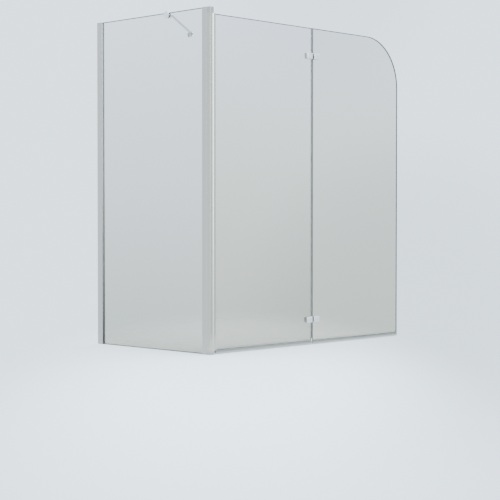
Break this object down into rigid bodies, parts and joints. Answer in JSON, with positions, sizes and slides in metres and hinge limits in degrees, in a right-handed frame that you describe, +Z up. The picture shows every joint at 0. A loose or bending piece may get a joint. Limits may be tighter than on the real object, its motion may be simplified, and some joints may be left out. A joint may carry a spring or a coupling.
{
  "type": "folding bath screen",
  "caption": "Corner bath screen: fixed side glass in a wall profile, corner post, two folding glass leaves with pinned hinges, rounded free corner and a stabiliser bar to the wall.",
  "frame": {"origin": "centre of the corner post's plan at the bath rim, where the side glass's middle plane crosses the front glass's middle plane", "axes": "+X along the front glass to the free edge, +Y along the side glass to the wall, +Z up from the bath rim"},
  "size_m": [1.227, 0.7035, 1.418],
  "materials": {
    "aluminium": "polished anodised aluminium profile",
    "chrome": "polished chrome plate on cast and turned brass",
    "glass": "clear toughened glass with polished edges",
    "clear_seal": "translucent soft plastic extrusion",
    "grey_seal": "grey soft rubber extrusion",
    "nylon": "white nylon",
    "steel": "stainless steel fasteners and pins"
  },
  "bodies": {
    "fixed": {"wall_profile": "aluminium", "wall_profile_cap": "chrome", "wall_gaskets": "grey_seal", "side_glass": "glass", "rim_strip": "clear_seal", "side_channel": "aluminium", "channel_cap": "chrome", "channel_gaskets": "clear_seal", "channel_screws": "steel", "corner_post": "aluminium", "post_seal": "grey_seal", "upper_block": "chrome", "post_cover": "chrome", "upper_block_screws": "steel", "foot_block": "chrome", "foot_block_screws": "steel", "upper_pivot_pin": "steel", "lower_pivot_pin": "steel", "glass_clamp": "chrome", "clamp_liner": "clear_seal", "clamp_screw": "steel", "bar_screw": "steel", "support_bar": "chrome", "bar_end": "chrome", "swivel_screw": "steel", "wall_flange": "chrome"},
    "inner_leaf": {"pivot_stile": "aluminium", "stile_gaskets": "clear_seal", "upper_bush": "nylon", "lower_bush": "nylon", "inner_glass": "glass", "inner_bottom_seal": "clear_seal", "fold_seal": "clear_seal", "inner_hinge_covers": "chrome", "inner_hinge_plates": "chrome", "inner_hinge_pads": "clear_seal", "inner_hinge_screws": "steel", "hinge_pins": "steel"},
    "outer_leaf": {"outer_glass": "glass", "outer_bottom_seal": "clear_seal", "outer_hinge_covers": "chrome", "outer_hinge_plates": "chrome", "outer_hinge_pads": "clear_seal", "outer_hinge_screws": "steel", "hinge_bushes": "nylon"}
  },
  "joints": [
    {"name": "leaf_pivot", "type": "hinge", "parent": "fixed", "child": "inner_leaf", "pos_m": [0.01, 0, 0], "axis": [0, 0, 1], "range_deg": [-90, 25]},
    {"name": "leaf_fold", "type": "hinge", "parent": "inner_leaf", "child": "outer_leaf", "pos_m": [0.618, 0.01, 0], "axis": [0, 0, 1], "range_deg": [0, 180]}
  ]
}
